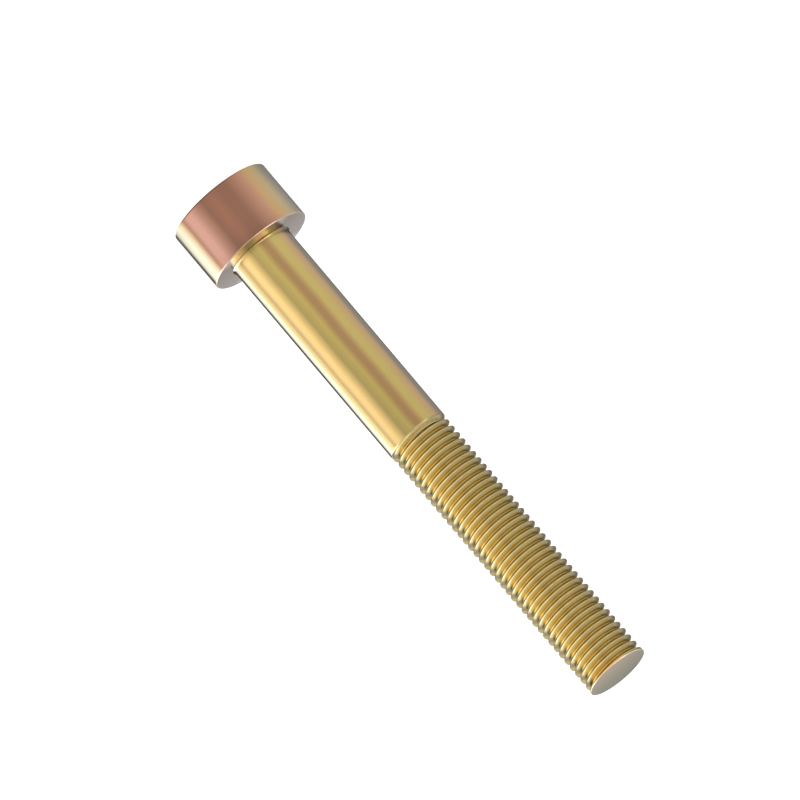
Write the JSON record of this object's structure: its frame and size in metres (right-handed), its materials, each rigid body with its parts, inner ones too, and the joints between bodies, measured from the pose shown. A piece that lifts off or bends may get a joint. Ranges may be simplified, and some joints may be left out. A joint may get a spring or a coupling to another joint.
{
  "type": "socket head cap screw",
  "caption": "Cap screw with a smooth cylindrical head, a hexagonal socket, a plain shank and a fine right-hand thread, in yellow zinc.",
  "frame": {"origin": "centre of the head's flat outer face, on which the screw stands", "axes": "+Z along the screw's axis, from the head to the end of the thread; two flats of the hexagonal socket are square to X"},
  "size_m": [0.01, 0.01, 0.0558],
  "materials": {
    "yellow_zinc": "bright steel with a yellow, iridescent zinc passivation"
  },
  "bodies": {
    "root": {"cap_screw": "yellow_zinc"}
  },
  "joints": []
}
